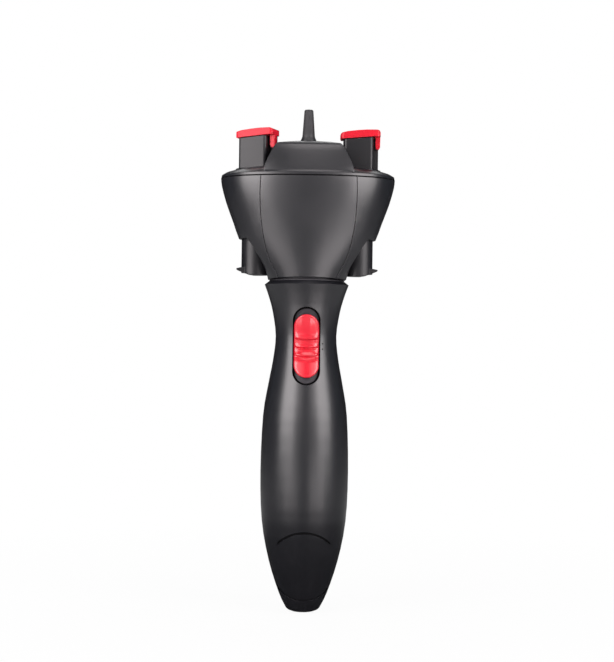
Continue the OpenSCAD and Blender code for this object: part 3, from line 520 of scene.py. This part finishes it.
def knob_rise(x, z, radius):
    """Radius of the knob's face at a place, with its dish and three crescent ribs."""
    skin = radius(z) + PROUD
    away = z - DISH_Z
    if abs(away) >= DISH_R:
        return skin
    floor = radius(SLOT_Z) + PROUD - DISH_DEPTH + DISH_R - math.sqrt(DISH_R ** 2 - away ** 2)
    mixed = sum(math.exp(-(level - radius(z)) / DISH_SOFT) for level in (skin, floor))
    face = radius(z) - DISH_SOFT * math.log(mixed)
    fade = math.sqrt(max(0.0, 1 - (x / (KNOB_W / 2 - RIB_ENDS)) ** 2))
    for rib in RIBS:
        d = away - rib - RIB_BOW * (x / (KNOB_W / 2)) ** 2
        width = RIB_SLOPE if d > 0 else RIB_STEEP
        face += RIB_RISE * fade * math.exp(-(d / width) ** 2)
        face -= HOLLOW_DEPTH * fade * math.exp(-((d + HOLLOW_DOWN) / HOLLOW_WIDE) ** 2)
    return min(face, skin + RIB_LIMIT)


def knob(radius):
    """Knob of the switch with rounded rim, dish and ribs, on its stem."""
    form = bmesh.new()
    shares = list(FACE_RINGS)
    for k in range(1, RIM_RINGS + 1):
        shares.append(1 - RIM * 2 / KNOB_W * (1 - math.sin(k * math.pi / 2 / RIM_RINGS)))
    rings = []
    for share in shares:
        gone = max(0.0, RIM - (1 - share) * KNOB_W / 2)
        drop = RIM - math.sqrt(max(0.0, RIM * RIM - gone * gone))
        places = oval(KNOB_W, KNOB_L, share)
        face = [on_skin(x, z, knob_rise(x, SLOT_Z + z, radius) - drop) for x, z in places]
        rings.append([form.verts.new(point) for point in face])
    for share in BACK_RINGS:
        places = oval(KNOB_W, KNOB_L, share)
        back = [on_skin(x, z, radius(SLOT_Z + z) - UNDER) for x, z in places]
        rings.append([form.verts.new(point) for point in back])
    count = len(rings[0])
    for a, b in zip(rings, rings[1:]):
        for k in range(count):
            form.faces.new((a[k], b[k], b[(k + 1) % count], a[(k + 1) % count]))
    bmesh.ops.remove_doubles(form, verts=form.verts[:], dist=0.004 * MM)
    stem_start = radius(SLOT_Z) - UNDER / 2
    stem_middle = Matrix.Translation((0, -(stem_start + STEM_END) / 2, SLOT_Z))
    bmesh.ops.create_cone(form, cap_ends=True, segments=24, radius1=STEM_R, radius2=STEM_R,
                          depth=stem_start - STEM_END, matrix=stem_middle @ Matrix.Rotation(math.pi / 2, 4, "X"))
    bmesh.ops.recalc_face_normals(form, faces=form.faces[:])
    smooth_quads(form)
    piece = new_piece("switch_knob_ribbed", form, red)
    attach(piece, "switch")
    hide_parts("switch_knob")


# ---- Floor and world ----
FLOOR_R = 6
SHADOW_SHARE = 0.05  # how much of the lit floor shows through its white near the object
SHADOW_NEAR = 0.05   # radius up to which it shows that much
SHADOW_FAR = 0.28    # radius from which the floor is plain white


def seen_share(t):
    """1 for rays of the camera, and for mirror and glass rays, so that these show the white too."""
    path = t.add("ShaderNodeLightPath").outputs
    either = t.math("MAXIMUM", path["Is Camera Ray"], path["Is Glossy Ray"])
    return t.math("MAXIMUM", either, path["Is Transmission Ray"])


def make_floor():
    form = bmesh.new()
    bmesh.ops.create_circle(form, cap_ends=True, cap_tris=False, segments=96, radius=FLOOR_R)
    material = bpy.data.materials.new("floor_white")
    t = Tree(material)
    where = t.add("ShaderNodeTexCoord").outputs["Object"]
    cloud = t.noise(where, 3, 3)
    away = t.add("ShaderNodeVectorMath", {0: where}, operation="LENGTH").outputs["Value"]
    white = t.span(away, SHADOW_NEAR, SHADOW_FAR, 1 - SHADOW_SHARE, 1.0)
    share = t.math("MULTIPLY", seen_share(t), white)
    paint = t.blend(cloud, (0.84, 0.84, 0.84, 1), (0.88, 0.88, 0.88, 1))
    diffuse = t.add("ShaderNodeBsdfDiffuse", {"Color": paint})
    glow = t.add("ShaderNodeEmission", {"Color": (1, 1, 1, 1), "Strength": 1.0})
    mix = t.add("ShaderNodeMixShader", {0: share, 1: diffuse.outputs[0], 2: glow.outputs[0]})
    t.add("ShaderNodeOutputMaterial", {"Surface": mix.outputs[0]})
    new_piece("floor", form, material)


def make_world():
    world = bpy.data.worlds.new("studio")
    scene.world = world
    t = Tree(world)
    dim = t.add("ShaderNodeBackground", {"Color": (0.93, 0.96, 1.0, 1), "Strength": 0.25})
    white = t.add("ShaderNodeBackground", {"Color": (1, 1, 1, 1), "Strength": 1.0})
    mix = t.add("ShaderNodeMixShader", {0: seen_share(t), 1: dim.outputs[0], 2: white.outputs[0]})
    t.add("ShaderNodeOutputWorld", {"Surface": mix.outputs[0]})


# ---- Lamps ----
WHITE = (1, 1, 1, 1)
WARM = (1, 0.94, 0.95, 1)
COOL = (0.78, 0.88, 1, 1)


def softbox(name, azimuth, height, distance, wide, tall, radiance, aim, colour=WHITE):
    """Area lamp of a given radiance, aimed at a height on the axis."""
    data = bpy.data.lights.new(name, "AREA")
    data.shape = "RECTANGLE"
    data.size, data.size_y = wide, tall
    data.energy = radiance * math.pi * wide * tall
    data.color = colour[:3]
    lamp = bpy.data.objects.new(name, data)
    lamp.location = direction(azimuth) * distance + Vector((0, 0, height))
    lamp.rotation_euler = (Vector((0, 0, aim)) - lamp.location).to_track_quat("-Z", "Y").to_euler()
    lamp.visible_camera = False
    scene.collection.objects.link(lamp)


def make_lamps():
    softbox("softbox_left", -50, height=0.34, distance=0.55, wide=0.38, tall=0.52, radiance=4.7, aim=0.34,
            colour=WARM)
    softbox("softbox_right", 52, height=0.34, distance=0.55, wide=0.34, tall=0.52, radiance=4.2, aim=0.34,
            colour=WARM)
    softbox("lamp_top", 10, height=0.75, distance=0.25, wide=0.3, tall=0.3, radiance=2.6, aim=0.2,
            colour=WARM)
    softbox("lamp_back", 180, height=0.75, distance=0.5, wide=0.5, tall=0.3, radiance=2.5, aim=0.12)


# ---- Cards that shape the gloss ----
FAR = 0.9         # radius and height of the room that the cards make
CARD_STEP = 6     # degrees to one flat of a curved card
FRONT_STEP = 8
FRONT_START = -38
FRONT_GLOW = (2.8, 2.3, 1.8, 0.9, 0.12, 0.15, 1.2, 2.3, 3.2, 3.4)  # from left to right, with a dark middle
FRONT_END = FRONT_START + FRONT_STEP * len(FRONT_GLOW)
FRONT_LOW = 0.2   # height where the bright front cards start
FRONT_HIGH = 0.6  # height where they end
TABLE = 0.2 * MM  # height over the floor
TABLE_RADII = (0.001, 0.14, 0.26, 0.45, FAR)
TABLE_GLOWS = (0.02, 0.06, 0.45, 0.3, 0.05)
STRIPS = (("left", -54, -16, 1.1), ("right", 12, 52, 1.6))  # name, first and last azimuth, strength
STRIP_RADII = (0.20, 0.28, 0.42, 0.52)


def card(name, start, end, low, high, low_glow, high_glow, colour=WHITE):
    """Curved card between two (radius, height) edges. Only mirror rays see it: it shapes the gloss."""
    form = bmesh.new()
    share = form.verts.layers.float.new("share")
    count = max(int(abs(end - start) / CARD_STEP), 1)
    rows = []
    for i in range(count + 1):
        side = direction(start + (end - start) * i / count)
        row = [form.verts.new(side * r + Vector((0, 0, z))) for r, z in (low, high)]
        row[1][share] = 1.0
        rows.append(row)
    for a, b in zip(rows, rows[1:]):
        form.faces.new((a[0], b[0], b[1], a[1]))
    material = bpy.data.materials.new(name)
    t = Tree(material)
    along = t.add("ShaderNodeAttribute", attribute_name="share").outputs["Fac"]
    glow = t.span(along, 0, 1, low_glow, high_glow)
    light = t.add("ShaderNodeEmission", {"Color": colour, "Strength": glow})
    t.add("ShaderNodeOutputMaterial", {"Surface": light.outputs[0]})
    piece = new_piece(name, form, material)
    piece.visible_camera = False
    piece.visible_diffuse = False
    piece.visible_shadow = False
    piece.visible_transmission = False


def card_rings(names, start, end, height, radii, glows, colour=WHITE):
    """Level cards, one outside the other, whose glow runs on from edge to edge."""
    for name, low, high, low_glow, high_glow in zip(names, radii, radii[1:], glows, glows[1:]):
        card(name, start, end, (low, height), (high, height), low_glow, high_glow, colour)


def make_cards():
    """Walls and roof of the room, its table, and the bright strips on the table to both sides."""
    card("front_low", -30, 34, (FAR, 0), (FAR, 0.25), 0.1, 0.6)
    for number, glow in enumerate(FRONT_GLOW):
        start = FRONT_START + number * FRONT_STEP
        card("front_high_%d" % (number * FRONT_STEP), start, start + FRONT_STEP, (FAR, FRONT_LOW),
             (FAR, FRONT_HIGH), glow, 0.7 * glow, WARM)
    card("front_top", FRONT_START, FRONT_END, (FAR, FRONT_HIGH), (FAR, FAR), 0.25, 0.2)
    card("card_left", -125, -72, (FAR, 0), (FAR, FAR), 0.07, 0.18, COOL)
    card("card_right", 74, 125, (FAR, 0), (FAR, FAR), 0.07, 0.18, COOL)
    card("card_rear", 125, 235, (FAR, 0), (FAR, FAR), 0.03, 0.03)
    card("roof", -180, 180, (FAR, FAR), (0.02, 1.2), 0.15, 0.15)
    table = ["table_" + ring for ring in ("near", "middle", "far", "end")]
    card_rings(table, -180, 180, TABLE, TABLE_RADII, TABLE_GLOWS)
    for side, start, end, share in STRIPS:
        strip = ["strip_%s_%s" % (ring, side) for ring in ("near", "middle", "far")]
        glows = (0.05, 1.3 * share, 4.0 * share, 0.5 * share)
        card_rings(strip, start, end, 2 * TABLE, STRIP_RADII, glows, WARM)


make_camera()
make_world()
make_floor()
make_lamps()
make_cards()

# ---- Finishes ----
GLOSSY = {"dark": tone(22, 23, 28), "light": tone(27, 27, 32), "roughness": 0.3, "grain": 0.006 * MM,
          "specular": 0.9}
WORN = tone(60, 60, 66)
SPIKE_Z = 201.5 * MM  # from here up the cover is its spike, which is more matt
black = moulded("body_black", worn=WORN, **GLOSSY)
tower_black = moulded("tower_black", tone(20, 20, 24), tone(25, 25, 29), WORN, 0.36, 0.006 * MM)
handle_black = moulded("handle_black", worn=tone(40, 40, 46), bevel=0.05 * MM, **GLOSSY)
cover_black = moulded("cover_black", worn=WORN, matte_from=SPIKE_Z, **GLOSSY)
inner = moulded("inner_black", tone(50, 48, 54), tone(56, 54, 60), tone(80, 80, 82), 0.5, 0.012 * MM)
red = moulded("red_gloss", tone(222, 14, 40), tone(230, 18, 46), tone(238, 40, 58), 0.3, 0.003 * MM,
              coat=0.8, bevel=0.08 * MM)
cap_red = moulded("cap_red", tone(222, 14, 40), tone(230, 20, 48), tone(242, 84, 96), 0.36, 0.003 * MM,
                  specular=0.35)
# Near-black and dull: painted shade, the colour of the dark strips laid in gaps, grooves and holes where shade
# falls.
painted_shade_black = moulded("painted_shade_black", tone(7, 7, 9), tone(10, 10, 12), tone(12, 12, 14), 0.75, 0.01 * MM,
                    specular=0.1)
cream = moulded("gear_cream", tone(214, 208, 190), tone(226, 221, 205), tone(236, 232, 220), 0.5, 0.008 * MM)
green = moulded("board_green", tone(22, 84, 48), tone(30, 98, 58), tone(120, 150, 120), 0.45, 0.01 * MM)
wrap = moulded("cell_wrap", tone(46, 70, 112), tone(54, 80, 124), tone(150, 160, 180), 0.3, 0.003 * MM)
steel = metal("steel", tone(168, 170, 174), tone(190, 191, 194), 0.3)

slot_finish = {"body_black": black, "inner_black": inner, "red_gloss": red, "steel": steel,
               "gear_cream": cream, "board_green": green, "cell_wrap": wrap}
own_finish = {"handle_front_shell": handle_black, "handle_rear_shell": handle_black,
              "head_top_cover": cover_black, "tower_left": tower_black, "tower_right": tower_black,
              "lift_lever_left": tower_black, "lift_lever_right": tower_black,
              "hook_left": cap_red, "hook_right": cap_red}
group = smoothing_group()
for name, node in nodes.items():
    for slot in node.material_slots:
        slot.material = own_finish.get(name, slot_finish[slot.material.name.split(".")[0]])
    node.modifiers.new("smooth_by_angle", "NODES").node_group = group

# ---- Pieces of the scene ----
# Dark strips of painted shade on the rim, the tail's groove, the pin holes and the slot's gap.
rim_shade_line()
groove_shade_line()
pin_shades()
curve = handle_curve()
slot_gap_shade(curve)
knob(curve)
wind("battery_spring_lower", "handle", 2)
wind("battery_spring_upper", "handle", 0.75)
for side in ("left", "right"):
    piece, end = wind("hook_spring_" + side, "twister_" + side, 6)
    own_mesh(piece)

scene.view_settings.view_transform = "Standard"
